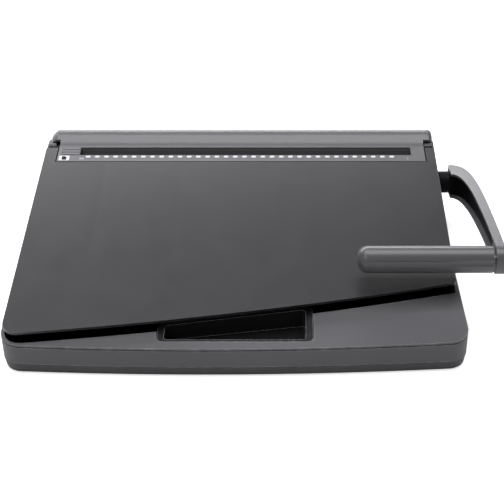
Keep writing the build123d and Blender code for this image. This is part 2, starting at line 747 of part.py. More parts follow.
def make_pressure_bar():
    with BuildPart() as bar:
        box_between((-BAR_HALF, BAR_FRONT_Y, BAR_BOTTOM_Z), (BAR_HALF, BAR_REAR_Y, BAR_TOP_Z))
        bore = (PIN_RADIUS + 0.03, BAR_REAR_Y + 1)
        head_seat = (PIN_HEAD_RADIUS + 0.1, BAR_FRONT_Y + PIN_HEAD + RUN)
        for radius, stop in (bore, head_seat):
            with BuildSketch(Plane.XZ.offset(-stop)):
                with GridLocations(PIN_PITCH, 1, PIN_COUNT, 1):
                    with Locations((0, PIN_Z)):
                        Circle(radius)
            extrude(amount=stop - BAR_FRONT_Y + 1, mode=Mode.SUBTRACT)
    return bar


def make_backing_strip():
    with BuildPart() as strip:
        box_between(
            (-STRAP_INNER + 2, BAR_FRONT_Y - STRIP_THICK, BAR_BOTTOM_Z),
            (STRAP_INNER - 2, BAR_FRONT_Y, BAR_TOP_Z),
        )
        chamfer(strip.faces().sort_by(Axis.Y)[0].edges(), 0.5)
    return strip


def flank_angle(radius, pitch_radius, teeth):
    """Half the angle a tooth fills at this radius, from the involute of the pressure angle."""
    base_radius = pitch_radius * cos(PRESSURE_ANGLE)
    half_at_pitch = pi / (2 * teeth) - BACKLASH / (2 * pitch_radius)
    at_pitch = tan(PRESSURE_ANGLE) - PRESSURE_ANGLE
    if radius <= base_radius:
        return half_at_pitch + at_pitch
    angle = acos(base_radius / radius)
    return half_at_pitch + at_pitch - (tan(angle) - angle)


def gear_points(module, teeth, centre, first_tooth):
    """Outline of a spur gear; first_tooth is the direction of one tooth in radians."""
    pitch_radius = module * teeth / 2
    root = pitch_radius - DEDENDUM * module
    tip = pitch_radius + ADDENDUM * module
    base = pitch_radius * cos(PRESSURE_ANGLE)
    start = max(root, base)
    radii = [root] + [start + (tip - start) * step / 4 for step in range(5)]
    points = []
    for tooth in range(teeth):
        middle = first_tooth + 2 * pi * tooth / teeth
        flanks = [(radius, -1) for radius in radii] + [(radius, 1) for radius in reversed(radii)]
        for radius, side in flanks:
            angle = middle + side * flank_angle(radius, pitch_radius, teeth)
            point = (centre[0] + radius * cos(angle), centre[1] + radius * sin(angle))
            if not points or abs(point[0] - points[-1][0]) + abs(point[1] - points[-1][1]) > 0.01:
                points.append(point)
    return points


def spur_gear(x_from, x_to, points):
    """Extrude a gear outline along X in the current part."""
    with BuildSketch(Plane.YZ.offset(x_from)) as profile:
        with BuildLine():
            Polyline(*points, close=True)
        make_face()
    extrude(profile.sketch, amount=x_to - x_from)


def make_handle_pinion():
    points = gear_points(HANDLE_MODULE, HANDLE_TEETH, (HANDLE_Y, HANDLE_Z), MESH_ANGLE)
    with BuildPart() as pinion:
        spur_gear(GEAR_LEFT, GEAR_RIGHT, points)
        rod_x(GEAR_LEFT - 1, GEAR_RIGHT + 1, HANDLE_Y, HANDLE_Z, PINION_BORE, Mode.SUBTRACT)
    return pinion


def make_handle_shaft():
    with BuildPart() as shaft:
        rod_x(FRAME_INNER - 1.5, GEAR_RIGHT + 1, HANDLE_Y, HANDLE_Z, JOURNAL_RADIUS)
        rod_x(GEAR_RIGHT + 0.2, HUB_RIGHT - 2, HANDLE_Y, HANDLE_Z, HANDLE_SHAFT_RADIUS)
        box_between(
            (HUB_LEFT + 0.5, HANDLE_Y - 6, HANDLE_Z + HANDLE_SHAFT_RADIUS - 0.8),
            (HUB_RIGHT, HANDLE_Y + 6, HANDLE_Z + 8),
            Mode.SUBTRACT,
        )
    return shaft


def bush(x_from, collar_end, x_to, bore):
    """A flanged bush for the handle shaft: sleeve over its whole length, collar on its left part."""
    with BuildPart() as ring:
        rod_x(x_from, x_to, HANDLE_Y, HANDLE_Z, HANDLE_HOLE_RADIUS - RUN)
        rod_x(x_from, collar_end, HANDLE_Y, HANDLE_Z, HANDLE_HOLE_RADIUS + 1.5)
        rod_x(x_from - 1, x_to + 1, HANDLE_Y, HANDLE_Z, bore, Mode.SUBTRACT)
    return ring.part


def make_handle_bushes():
    frame_face = FRAME_INNER + FRAME_THICK
    with BuildPart() as bushes:
        rod_x(FRAME_INNER - 1, frame_face + 1.5, HANDLE_Y, HANDLE_Z, FRAME_HOLE_RADIUS - RUN)
        rod_x(FRAME_INNER - 2, frame_face + 3, HANDLE_Y, HANDLE_Z, JOURNAL_RADIUS + RUN, Mode.SUBTRACT)
        add(bush(177, HALF_WIDTH - SHELL - RUN, HALF_WIDTH, HANDLE_SHAFT_RADIUS + RUN))
    return bushes


def make_punch_shaft():
    with BuildPart() as shaft:
        rod_x(-FRAME_INNER - FRAME_THICK - 3, GEAR_RIGHT + 1.5, SHAFT_Y, SHAFT_Z, SHAFT_RADIUS)
        for x in (-FRAME_INNER - FRAME_THICK - 3, GEAR_RIGHT + 1.5):
            chamfer(shaft.edges().filter_by_position(Axis.X, x - 0.1, x + 0.1), 0.6)
    return shaft


def make_reduction_gear():
    half_pitch = pi / REDUCTION_TEETH
    centre = (SHAFT_Y, SHAFT_Z)
    points = gear_points(HANDLE_MODULE, REDUCTION_TEETH, centre, MESH_ANGLE + pi + half_pitch)
    with BuildPart() as gear:
        spur_gear(GEAR_LEFT, GEAR_RIGHT, points)
        rod_x(GEAR_LEFT - 1, GEAR_RIGHT + 1, SHAFT_Y, SHAFT_Z, SHAFT_RADIUS + 0.02, Mode.SUBTRACT)
        with BuildSketch(Plane.YZ.offset(GEAR_LEFT)):
            with Locations((SHAFT_Y, SHAFT_Z)):
                with PolarLocations(10.2, 6):
                    Circle(1.8)
        extrude(amount=GEAR_RIGHT - GEAR_LEFT, mode=Mode.SUBTRACT)
    return gear


def make_drive_pinions():
    points = gear_points(DRIVE_MODULE, DRIVE_TEETH, (SHAFT_Y, SHAFT_Z), pi / 2)
    with BuildPart() as pinions:
        for low, high in ((-RACK_OUTER, -RACK_INNER), (RACK_INNER, RACK_OUTER)):
            spur_gear(low, high, points)
            rod_x(low - 1, high + 1, SHAFT_Y, SHAFT_Z, SHAFT_RADIUS + 0.02, Mode.SUBTRACT)
    return pinions


def make_shaft_bushes():
    face = FRAME_INNER + FRAME_THICK
    with BuildPart() as bushes:
        for side in (-1, 1):
            low, high = sorted((side * (FRAME_INNER - 1.2), side * (face + 1.2)))
            rod_x(low, high, SHAFT_Y, SHAFT_Z, SHAFT_HOLE_RADIUS - RUN)
            rod_x(low - 1, high + 1, SHAFT_Y, SHAFT_Z, SHAFT_RADIUS + RUN, Mode.SUBTRACT)
    return bushes


def rack_points():
    """Outline of a rack above the drive pinion, with a gap centred over its top tooth."""
    pitch = pi * DRIVE_MODULE
    line = SHAFT_Z + DRIVE_MODULE * DRIVE_TEETH / 2
    root = line + DEDENDUM * DRIVE_MODULE
    tip = line - ADDENDUM * DRIVE_MODULE
    half_tooth = pitch / 4 - BACKLASH / 2
    half_root = half_tooth + (root - line) * tan(PRESSURE_ANGLE)
    half_tip = half_tooth - (line - tip) * tan(PRESSURE_ANGLE)
    points = [(RACK_FRONT_Y, root)]
    for number in range(-2, 4):
        middle = SHAFT_Y + (number + 0.5) * pitch
        if middle - half_root > RACK_FRONT_Y and middle + half_root < RACK_REAR_Y:
            points.append((middle - half_root, root))
            points.append((middle - half_tip, tip))
            points.append((middle + half_tip, tip))
            points.append((middle + half_root, root))
    points += [(RACK_REAR_Y, root), (RACK_REAR_Y, RACK_TOP_Z), (RACK_FRONT_Y, RACK_TOP_Z)]
    return points


def drive_rack(side):
    """Rack with the shoe that slides in the side frame's slot."""
    low, high = sorted((side * RACK_INNER, side * RACK_OUTER))
    with BuildPart() as rack:
        spur_gear(low, high, rack_points())
        shoe_low, shoe_high = sorted((side * (RACK_OUTER - 1), side * (RACK_OUTER + 5)))
        box_between(
            (shoe_low, RACK_SHOE_FRONT_Y, RACK_SHOE_BOTTOM),
            (shoe_high, RACK_SHOE_REAR_Y, RACK_SHOE_TOP),
        )
    return rack


def make_draw_bars():
    with BuildPart() as bars:
        for side in (-1, 1):
            low, high = sorted((side * STRAP_INNER, side * STRAP_OUTER))
            front = JAW_FRONT_Y + JAW_THICK
            box_between((low, front, BAR_BOTTOM_Z - STRAP_THICK), (high, BAR_REAR_Y, BAR_BOTTOM_Z))
            box_between((low, front, BED_TOP_Z + 1.5), (high, front + STRAP_THICK, BAR_BOTTOM_Z))
    return bars


def make_closer_jaw():
    with BuildPart() as jaw:
        box_between(
            (-STRAP_OUTER - 1, JAW_FRONT_Y, BED_TOP_Z + 0.7),
            (STRAP_OUTER + 1, JAW_FRONT_Y + JAW_THICK, JAW_TOP_Z),
        )
        chamfer(jaw.edges().filter_by(Axis.X).sort_by(Axis.Z)[-2:], 0.8)
        with BuildSketch(Plane.XZ.offset(-JAW_FRONT_Y - 4)):
            with GridLocations(PIN_PITCH, 1, PIN_COUNT, 1):
                with Locations((0, JAW_TOP_Z)):
                    Rectangle(COMB_SLOT_WIDTH, 2 * COMB_SLOT_DEPTH)
        extrude(amount=6, mode=Mode.SUBTRACT)
    return jaw


def make_closer_anvil():
    with BuildPart() as anvil:
        box_between(
            (-ANVIL_HALF, ANVIL_FRONT_Y, BED_TOP_Z + 0.1),
            (ANVIL_HALF, ANVIL_FRONT_Y + JAW_THICK, JAW_TOP_Z - 1),
        )
        box_between(
            (-ANVIL_HALF, ANVIL_FRONT_Y, BED_TOP_Z + 0.1),
            (ANVIL_HALF, ANVIL_REAR_Y, BED_TOP_Z + 2.1),
        )
        for x in ANVIL_SCREW_X:
            with BuildSketch(Plane.XY.offset(BED_TOP_Z)):
                with Locations((x, ANVIL_SCREW_Y + 4.5)):
                    SlotOverall(13.5, 4.4, rotation=90)
            extrude(amount=4, mode=Mode.SUBTRACT)
        box_between((-16, 26, BED_TOP_Z + 1), (16, 29, BED_TOP_Z + 9))
        fillet(anvil.edges().filter_by(Axis.Y).sort_by(Axis.Z)[-2:], 1.5)
    return anvil


def make_anvil_screws():
    with BuildPart() as screws:
        for x in ANVIL_SCREW_X:
            rod_z(x, ANVIL_SCREW_Y, BED_TOP_Z - 6, BED_TOP_Z, SCREW_RADIUS)
            rod_z(x, ANVIL_SCREW_Y, BED_TOP_Z, BED_TOP_Z + 2.2, 2.0)
            rod_z(x, ANVIL_SCREW_Y, BED_TOP_Z + 2.2, BED_TOP_Z + 3.8, 4.0)
    return screws


def tray_apron(inset, top_z):
    """The sunk floor in front of the bed; it follows the lid's slanting edge."""
    half = APRON_HALF - inset
    with BuildPart() as apron:
        with BuildSketch(Plane.XY.offset(PAN_FLOOR)):
            add(under_lid_outline(APRON_SETBACK + inset, half, BED_FRONT_Y + TRAY_WALL - inset))
        extrude(amount=top_z - PAN_FLOOR)
    return apron.part


def make_inner_tray():
    wall = TRAY_WALL
    with BuildPart() as tray:
        add(tray_apron(0, APRON_TOP_Z))
        add(tray_apron(APRON_WALL, APRON_TOP_Z - APRON_WALL), mode=Mode.SUBTRACT)
        box_between((-BED_HALF, BED_FRONT_Y, PAN_FLOOR), (BED_HALF, BED_REAR_Y, BED_TOP_Z))
        box_between(
            (-BED_HALF + wall, BED_FRONT_Y + wall, 0),
            (BED_HALF - wall, BED_REAR_Y - wall, BED_TOP_Z - wall),
            Mode.SUBTRACT,
        )
        box_between(
            (-BED_HALF, BED_FRONT_Y, TROUGH_FLOOR_Z - wall),
            (BED_HALF, TROUGH_REAR_Y + wall, BED_TOP_Z),
        )
        box_between(
            (-TROUGH_HALF, BED_FRONT_Y + wall, TROUGH_FLOOR_Z),
            (TROUGH_HALF, TROUGH_REAR_Y, BED_TOP_Z + 1),
            Mode.SUBTRACT,
        )
        for x in ANVIL_SCREW_X:
            rod_z(x, ANVIL_SCREW_Y, BED_TOP_Z - 9, BED_TOP_Z, 4.0)
            rod_z(x, ANVIL_SCREW_Y, BED_TOP_Z - 8, BED_TOP_Z + 1, SCREW_HOLE, Mode.SUBTRACT)
    return tray


def make_mechanism_cover():
    half = FRAME_INNER - 1.8
    with BuildPart() as cover:
        box_between(
            (-half, FRAME_FRONT_Y, GUARD_TOP_Z - GUARD_THICK),
            (half, GUARD_REAR_Y, GUARD_TOP_Z),
        )
        box_between(
            (-half, FRAME_FRONT_Y, BED_TOP_Z + 0.4),
            (half, FRAME_FRONT_Y + GUARD_THICK, GUARD_TOP_Z),
        )
        fillet(cover.edges().filter_by(Axis.X).group_by(Axis.Z)[-1].sort_by(Axis.Y)[0], 1.2)
        for side in (-1, 1):
            strap_low, strap_high = sorted((side * (STRAP_INNER - 1), side * (STRAP_OUTER + 1)))
            box_between(
                (strap_low, FRAME_FRONT_Y - 1, BAR_BOTTOM_Z - STRAP_THICK - 1),
                (strap_high, FRAME_FRONT_Y + 6, BAR_BOTTOM_Z + 1),
                Mode.SUBTRACT,
            )
    return cover


def make_chip_tray():
    wall = CHIP_WALL
    with BuildPart() as tray:
        box_between((-TRAY_HALF, TRAY_FRONT_Y, TRAY_BOTTOM_Z), (TRAY_HALF, REAR_Y, TRAY_TOP_Z))
        fillet(tray.edges().filter_by(Axis.X).group_by(Axis.Z)[0], 2.0)
        box_between(
            (-TRAY_HALF + wall, TRAY_FRONT_Y + wall, TRAY_BOTTOM_Z + wall),
            (TRAY_HALF - wall, REAR_Y - 2.5, TRAY_TOP_Z + 5),
            Mode.SUBTRACT,
        )
        box_between(
            (-PULL_HALF, REAR_Y - 1.2, TRAY_BOTTOM_Z + 3),
            (PULL_HALF, REAR_Y + 2, TRAY_TOP_Z - 3),
            Mode.SUBTRACT,
        )
    return tray


def hinge_bracket(side):
    """Bracket on the side frame that holds the lid's hinge pin."""
    low, high = sorted((side * BRACKET_INNER, side * BRACKET_OUTER))
    with BuildPart() as bracket:
        box_between((low, HINGE_Y - 3.5, BRACKET_BOTTOM_Z), (high, HINGE_Y + 9, BRACKET_TOP_Z))
        with BuildSketch(Plane.YZ.offset(low)):
            with BuildLine():
                Polyline(
                    (HINGE_Y - 3.5, BRACKET_TOP_Z),
                    (HINGE_Y - 2.5, HINGE_Z + 1.2),
                    (HINGE_Y - 1, HINGE_Z + 1.7),
                    (HINGE_Y + 2, HINGE_Z + 2.2),
                    (HINGE_Y + 6, BRACKET_TOP_Z),
                    close=True,
                )
            make_face()
        extrude(amount=high - low)
        rod_x(low - 1, high + 1, HINGE_Y, HINGE_Z, HINGE_PIN_RADIUS + 0.02, Mode.SUBTRACT)
        for y, z in BRACKET_SCREW_PLACES:
            rod_x(low - 1, high + 1, y, z, SCREW_HOLE, Mode.SUBTRACT)
    return bracket


def make_hinge_pins():
    with BuildPart() as pins:
        for side in (-1, 1):
            low, high = sorted((side * BRACKET_INNER, side * (KNUCKLE_OUTER + 0.8)))
            rod_x(low, high, HINGE_Y, HINGE_Z, HINGE_PIN_RADIUS)
    return pins


def make_hinge_screws():
    with BuildPart() as screws:
        for side in (-1, 1):
            for y, z in BRACKET_SCREW_PLACES:
                low, high = sorted((side * (FRAME_INNER - 3), side * BRACKET_OUTER))
                rod_x(low, high, y, z, SCREW_RADIUS)
                low, high = sorted((side * BRACKET_OUTER, side * (BRACKET_OUTER + 1.8)))
                rod_x(low, high, y, z, SCREW_HEAD_RADIUS)
    return screws


def arm_plane():
    """Plane through the hub axis and the grip axis, its own y axis pointing back to the hub."""
    rise = atan2(GRIP_Z - HANDLE_Z, HANDLE_Y - GRIP_Y)
    return Plane(origin=(0, HANDLE_Y, HANDLE_Z), x_dir=(1, 0, 0), z_dir=(0, sin(rise), cos(rise)))


def arm_outline(outer_inset, inner_inset):
    """Plan of the arm: it leaves the hub sideways, sweeps forward and runs into the grip."""
    rear = ARM_ROOT_REAR - outer_inset
    outer_x = ARM_END_X - outer_inset
    inner_x = ARM_INNER_X + inner_inset
    front = ARM_ROOT_FRONT + inner_inset
    with BuildSketch() as plan:
        with BuildLine():
            Bezier((HUB_RIGHT, rear), (outer_x - 3, rear), (outer_x, -15), (outer_x, -ARM_LENGTH))
            Line((outer_x, -ARM_LENGTH), (inner_x, -ARM_LENGTH))
            Bezier((inner_x, -ARM_LENGTH), (inner_x, -35), (inner_x - 6.5, front), (HUB_RIGHT, front))
            Line((HUB_RIGHT, front), (HUB_RIGHT, rear))
        make_face()
    return plan.sketch


def arm_slab(height, outer_inset, inner_inset):
    """A slab of the arm's outline about the plane through hub and grip, thinner towards the grip."""
    base = arm_plane().offset(-height / 2)
    tilt = atan2(GRIP_Z - HANDLE_Z, HANDLE_Y - GRIP_Y) + ARM_TAPER
    underside = Plane(origin=base.origin, x_dir=(1, 0, 0), z_dir=(0, sin(tilt), cos(tilt)))
    with BuildPart() as slab:
        with BuildSketch(base):
            add(arm_outline(outer_inset, inner_inset))
        extrude(amount=height)
        split(bisect_by=underside, keep=Keep.TOP)
    return slab.part


def beside_grip():
    """The block around the grip's end, where the arm stays solid."""
    with BuildPart() as block:
        box_between((HUB_LEFT, 2 * GRIP_Y, 0), (ARM_END_X + 5, ARM_POCKET_END_Y, 2 * GRIP_Z))
    return block.part


def arm_pocket():
    """The channel that opens on the arm's inner side."""
    with BuildPart() as pocket:
        add(arm_slab(ARM_HEIGHT - 2 * ARM_WALL, ARM_WALL, -3.0))
        add(beside_grip(), mode=Mode.SUBTRACT)
    return pocket.part


def make_arm_shell():
    with BuildPart() as shell:
        add(arm_slab(ARM_HEIGHT, 0.0, 0.0))
        rod_x(ARM_INNER_X, ARM_END_X, GRIP_Y, GRIP_Z, GRIP_RADIUS + 0.8)
        add(arm_pocket(), mode=Mode.SUBTRACT)
        rod_x(ARM_INNER_X - 1, ARM_END_X - 2, GRIP_Y, GRIP_Z, GRIP_ROD_RADIUS, Mode.SUBTRACT)
    return shell


def make_arm_core():
    with BuildPart() as core:
        add(arm_slab(ARM_HEIGHT - 2 * ARM_WALL - 0.2, ARM_WALL + 0.15, CORE_RECESS))
        add(beside_grip(), mode=Mode.SUBTRACT)
    return core


def make_handle_hub():
    with BuildPart() as hub:
        rod_x(HUB_LEFT, HUB_RIGHT - RUN, HANDLE_Y, HANDLE_Z, HUB_RADIUS)
        chamfer(hub.edges().filter_by(GeomType.CIRCLE), 0.8)
        bore = HANDLE_SHAFT_RADIUS + 0.02
        rod_x(HUB_LEFT - 1, HUB_RIGHT - 1.9, HANDLE_Y, HANDLE_Z, bore, Mode.SUBTRACT)
    return hub


def grip_half(upper):
    """One of the two grip shells, split low along the grip's length, round at its free end."""
    with BuildPart() as grip:
        rod_x(GRIP_LEFT, GRIP_RIGHT, GRIP_Y, GRIP_Z, GRIP_RADIUS)
        left_rim = grip.edges().filter_by(GeomType.CIRCLE).sort_by(Axis.X)[0]
        fillet(left_rim, GRIP_END_RADIUS)
        rod_x(GRIP_LEFT + 6, GRIP_RIGHT + 1, GRIP_Y, GRIP_Z, GRIP_ROD_RADIUS + 0.02, Mode.SUBTRACT)
        groove_y = GRIP_Y - GRIP_GROOVE_REACH * cos(GRIP_GROOVE_ANGLE)
        groove_z = GRIP_Z + GRIP_GROOVE_REACH * sin(GRIP_GROOVE_ANGLE)
        rod_x(GRIP_GROOVE_LEFT, GRIP_RIGHT + 1, groove_y, groove_z, GRIP_GROOVE_RADIUS, Mode.SUBTRACT)
        keep = Keep.TOP if upper else Keep.BOTTOM
        shift = 0.1 if upper else -0.1
        split(bisect_by=Plane.XY.offset(GRIP_Z + GRIP_SPLIT_Z + shift), keep=keep)
    return grip


def make_grip_rod():
    with BuildPart() as rod:
        rod_x(GRIP_LEFT + 8, ARM_END_X - 2.1, GRIP_Y, GRIP_Z, GRIP_ROD_RADIUS - 0.03)
    return rod


PIECES = {
    "base_pan": make_base_pan,
    "rubber_feet": make_rubber_feet,
    "pan_screws": make_pan_screws,
    "upper_housing": make_upper_housing,
    "finger_well": make_finger_well,
    "rear_cover": make_rear_cover,
    "slot_liner": make_slot_liner,
    "edge_guide": make_edge_guide,
    "lid": make_lid,
    "lid_bumpers": make_lid_bumpers,
    "side_frame_left": lambda: frame_sheet(-1),
    "side_frame_right": lambda: frame_sheet(1),
    "tie_rods": make_tie_rods,
    "frame_screws": make_frame_screws,
    "guide_plate": lambda: punched_plate(GUIDE_FRONT_Y, THROAT_FRONT_Y, PIN_HOLE_RADIUS),
    "die_plate": lambda: punched_plate(THROAT_REAR_Y, DIE_REAR_Y, PIN_HOLE_RADIUS),
    "paper_stop": make_paper_stop,
    "punch_pins": make_punch_pins,
    "pressure_bar": make_pressure_bar,
    "backing_strip": make_backing_strip,
    "rack_left": lambda: drive_rack(-1),
    "rack_right": lambda: drive_rack(1),
    "draw_bars": make_draw_bars,
    "closer_jaw": make_closer_jaw,
    "closer_anvil": make_closer_anvil,
    "anvil_screws": make_anvil_screws,
    "inner_tray": make_inner_tray,
    "mechanism_cover": make_mechanism_cover,
    "chip_tray": make_chip_tray,
    "punch_shaft": make_punch_shaft,
    "reduction_gear": make_reduction_gear,
    "drive_pinions": make_drive_pinions,
    "shaft_bushes": make_shaft_bushes,
    "handle_shaft": make_handle_shaft,
    "handle_pinion": make_handle_pinion,
    "handle_bushes": make_handle_bushes,
    "handle_hub": make_handle_hub,
    "arm_shell": make_arm_shell,
    "arm_core": make_arm_core,
    "grip_upper": lambda: grip_half(True),
    "grip_lower": lambda: grip_half(False),
    "grip_rod": make_grip_rod,
    "hinge_bracket_left": lambda: hinge_bracket(-1),
    "hinge_bracket_right": lambda: hinge_bracket(1),
    "hinge_pins": make_hinge_pins,
    "hinge_screws": make_hinge_screws,
}

os.makedirs("parts", exist_ok=True)
for name, make in PIECES.items():
    with BuildPart() as piece:
        add(make().part.moved(Location((0, 0, -SOLE_Z))))
    piece.part.label = name
    export_step(piece.part, f"parts/{name}.step")
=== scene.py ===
"""Looks of the comb binding machine: materials, printed marks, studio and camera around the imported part."""

import math

import bmesh
import bpy
from mathutils import Matrix, Vector


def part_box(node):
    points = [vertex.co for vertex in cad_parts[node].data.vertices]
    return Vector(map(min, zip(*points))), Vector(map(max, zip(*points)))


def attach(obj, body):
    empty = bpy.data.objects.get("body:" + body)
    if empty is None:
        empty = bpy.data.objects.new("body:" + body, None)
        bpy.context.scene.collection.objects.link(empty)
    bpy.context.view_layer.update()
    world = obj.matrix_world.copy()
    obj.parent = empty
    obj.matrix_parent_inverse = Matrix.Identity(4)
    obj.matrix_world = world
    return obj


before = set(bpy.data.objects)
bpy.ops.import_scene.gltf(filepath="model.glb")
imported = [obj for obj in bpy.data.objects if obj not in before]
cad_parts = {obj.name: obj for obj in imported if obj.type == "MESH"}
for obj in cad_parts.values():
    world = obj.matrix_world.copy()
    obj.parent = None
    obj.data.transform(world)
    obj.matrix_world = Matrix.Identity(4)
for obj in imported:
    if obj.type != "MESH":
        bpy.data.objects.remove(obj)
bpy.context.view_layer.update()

MM = 0.001
SLOPE = math.radians(7.0)
HOLE_COUNT = 34
HOLE_PITCH = 25.4 / 3 * MM

# Printed marks. A setback is from the front edge of the slot tongue, an inset from an end of the slot liner.
INK_THICK = 0.05 * MM
INK_LIFT = 0.03 * MM
INK_CORNER_STEPS = 5
MARK_SETBACK = 7.0 * MM
MARK_WIDTH = 4.2 * MM
MARK_DEPTH = 2.6 * MM
MARK_CORNER = 0.8 * MM
LABEL_INSET = 4.4 * MM
LABEL_SETBACK = 4.9 * MM
LABEL_WIDTH = 9.6 * MM
LABEL_DEPTH = 7.2 * MM
LABEL_CORNER = 0.5 * MM
PAGE_WIDTH = 4.2 * MM
PAGE_DEPTH = 5.2 * MM
PAGE_FOLD = 1.5 * MM
LEFT_TICK_INSET = 20.5 * MM
LEFT_TICK_SETBACK = 3.9 * MM
LEFT_TICK_SIZE = (4.0 * MM, 2.4 * MM)
RIGHT_TICK_INSET = 5.1 * MM
RIGHT_TICK_SETBACK = 4.1 * MM
RIGHT_TICK_SIZE = (0.8 * MM, 3.2 * MM)
TICK_CORNER = 0.3 * MM

# Faint sink lines in the lid, where ribs meet its skin
SINK_LINES = (-122 * MM, -53 * MM, 28 * MM)
SINK_HALF_WIDTH = 6 * MM
SINK_DEPTH = 0.06 * MM

# Noise scales, in cycles per metre
PAPER_SCALE = 3.0
CLOUD_SCALE = 14.0
SMUDGE_SCALE = 38.0
PATCH_SCALE = 60.0
RUBBER_SCALE = 90.0
RUB_SCALE = 120.0
BRUSH_SCALE = 220.0
SCUFF_SCALE = 260.0
SPECK_SCALE = 900.0
GRAIN_SCALE = 1100.0
RUBBER_GRAIN_SCALE = 1400.0
DUST_SCALE = 1600.0
INK_SCALE = 2200.0

# The span that a noise value mostly covers
NOISE_LOW = 0.3
NOISE_HIGH = 0.7

# Bump depths
GRAIN_DEPTH = 0.03 * MM
SMOOTH_GRAIN_DEPTH = 0.01 * MM
BRUSH_DEPTH = 0.01 * MM
SCUFF_DEPTH = 0.004 * MM
RUBBER_DEPTH = 0.04 * MM
INK_DEPTH = 0.01 * MM

# Edges made lighter, how wide it reaches: on the plastics partly worn by rubbing and partly a painted
# highlight, on the black well only a painted highlight, on metal worn by rubbing
EDGE_WEAR_AND_HIGHLIGHT = 0.9 * MM
LID_EDGE_WEAR_AND_HIGHLIGHT = 1.4 * MM
HOUSING_EDGE_WEAR_AND_HIGHLIGHT = 2.0 * MM
METAL_EDGE_RUB = 0.4 * MM
WELL_EDGE_HIGHLIGHT = 0.6 * MM

# Softened edges of the CAD meshes
BEVEL_ANGLE = math.radians(35)
BEVEL_SEGMENTS = 3
WELD_DISTANCE = 0.01 * MM
NORMAL_WEIGHT = 60

# Studio and camera
CAMERA_PLACE = (0.037, -0.873, 0.6012)
CAMERA_TILT = math.radians(56.5)
CAMERA_LENS = 85.7
CAMERA_SENSOR = 36.0
CAMERA_SHIFT_X = -0.0556
CAMERA_CLIP_START = 0.05
FLOOR_SIZE = 6.0
FLOOR_CELLS = 8
WHITE = (1.0, 1.0, 1.0)
COOL = (0.97, 0.97, 1.0)
AMBIENT = 0.2
FLOOR_GLOW = 0.6


# ---------------------------------------------------------------- node helpers


class Shader:
    """A material with short ways to add and join its nodes."""

    def __init__(self, name):
        self.material = bpy.data.materials.new(name)
        self.material.use_nodes = True
        self.tree = self.material.node_tree
        self.bsdf = self.tree.nodes["Principled BSDF"]
        self.coordinates = self.add("ShaderNodeTexCoord").outputs["Object"]

    def add(self, kind, **settings):
        node = self.tree.nodes.new(kind)
        for key, value in settings.items():
            setattr(node, key, value)
        return node

    def join(self, source, target):
        self.tree.links.new(source, target)

    def put(self, target, value):
        """Join a socket, or set a plain value."""
        if isinstance(value, bpy.types.NodeSocket):
            self.join(value, target)
        else:
            target.default_value = value

    def surface(self, name, value):
        """Join a socket to the named input of the surface, or set a plain value."""
        self.put(self.bsdf.inputs[name], value)

    def noise(self, scale, detail=2.0, roughness=0.5, stretch=None):
        """Noise with scale in cycles per metre, and stretch an optional scale per axis."""
        vector = self.coordinates
        if stretch:
            mapping = self.add("ShaderNodeMapping")
            mapping.inputs["Scale"].default_value = stretch
            self.join(vector, mapping.inputs["Vector"])
            vector = mapping.outputs["Vector"]
        node = self.add("ShaderNodeTexNoise")
        node.inputs["Scale"].default_value = scale
        node.inputs["Detail"].default_value = detail
        node.inputs["Roughness"].default_value = roughness
        self.join(vector, node.inputs["Vector"])
        return node.outputs["Fac"]

    def math(self, operation, first, second=0.0, clamp=False):
        node = self.add("ShaderNodeMath", operation=operation, use_clamp=clamp)
        for socket, value in zip(node.inputs, (first, second)):
            self.put(socket, value)
        return node.outputs[0]

    def remap(self, value, low, high, new_low, new_high):
        node = self.add("ShaderNodeMapRange")
        self.put(node.inputs["Value"], value)
        node.inputs["From Min"].default_value = low
        node.inputs["From Max"].default_value = high
        node.inputs["To Min"].default_value = new_low
        node.inputs["To Max"].default_value = new_high
        return node.outputs["Result"]

    def spread(self, noise, new_low=0.0, new_high=1.0):
        """Stretch the span that a noise mostly covers to new_low and new_high."""
        return self.remap(noise, NOISE_LOW, NOISE_HIGH, new_low, new_high)

    def mix(self, factor, first, second):
        """Mix two colours, each a socket or a plain red, green and blue."""
        node = self.add("ShaderNodeMix", data_type="RGBA")
        self.put(node.inputs["Factor"], factor)
        for socket, colour in zip(node.inputs[6:8], (first, second)):
            self.put(socket, rgba(colour) if isinstance(colour, tuple) else colour)
        return node.outputs[2]

    def bump(self, height, distance, normal=None):
        node = self.add("ShaderNodeBump")
        node.inputs["Distance"].default_value = distance
        node.inputs["Strength"].default_value = 1.0
        self.join(height, node.inputs["Height"])
        if normal:
            self.join(normal, node.inputs["Normal"])
        return node.outputs["Normal"]

    def edge_mask(self, radius, low=0.02, high=0.25):
        """0 on flat faces, 1 on edges, from how far a bevelled normal leans."""
        bevel = self.add("ShaderNodeBevel", samples=4)
        bevel.inputs["Radius"].default_value = radius
        geometry = self.add("ShaderNodeNewGeometry")
        dot = self.add("ShaderNodeVectorMath", operation="DOT_PRODUCT")
        self.join(bevel.outputs["Normal"], dot.inputs[0])
        self.join(geometry.outputs["Normal"], dot.inputs[1])
        lean = self.math("SUBTRACT", 1.0, dot.outputs["Value"])
        return self.remap(lean, low, high, 0.0, 1.0)

    def axis(self, name):
        split = self.add("ShaderNodeSeparateXYZ")
        self.join(self.coordinates, split.inputs[0])
        return split.outputs[name]


def rgba(colour):
    return (*colour, 1.0)


def scaled(colour, factor):
    return tuple(min(1.0, channel * factor) for channel in colour)


def worn_and_highlight_tone(colour):
    """The greyer, lighter tone of a dark plastic's edges: partly worn by rubbing, partly a painted highlight.
    """
    return tuple(2.0 * channel + 0.07 for channel in colour)


# ---------------------------------------------------------------- materials


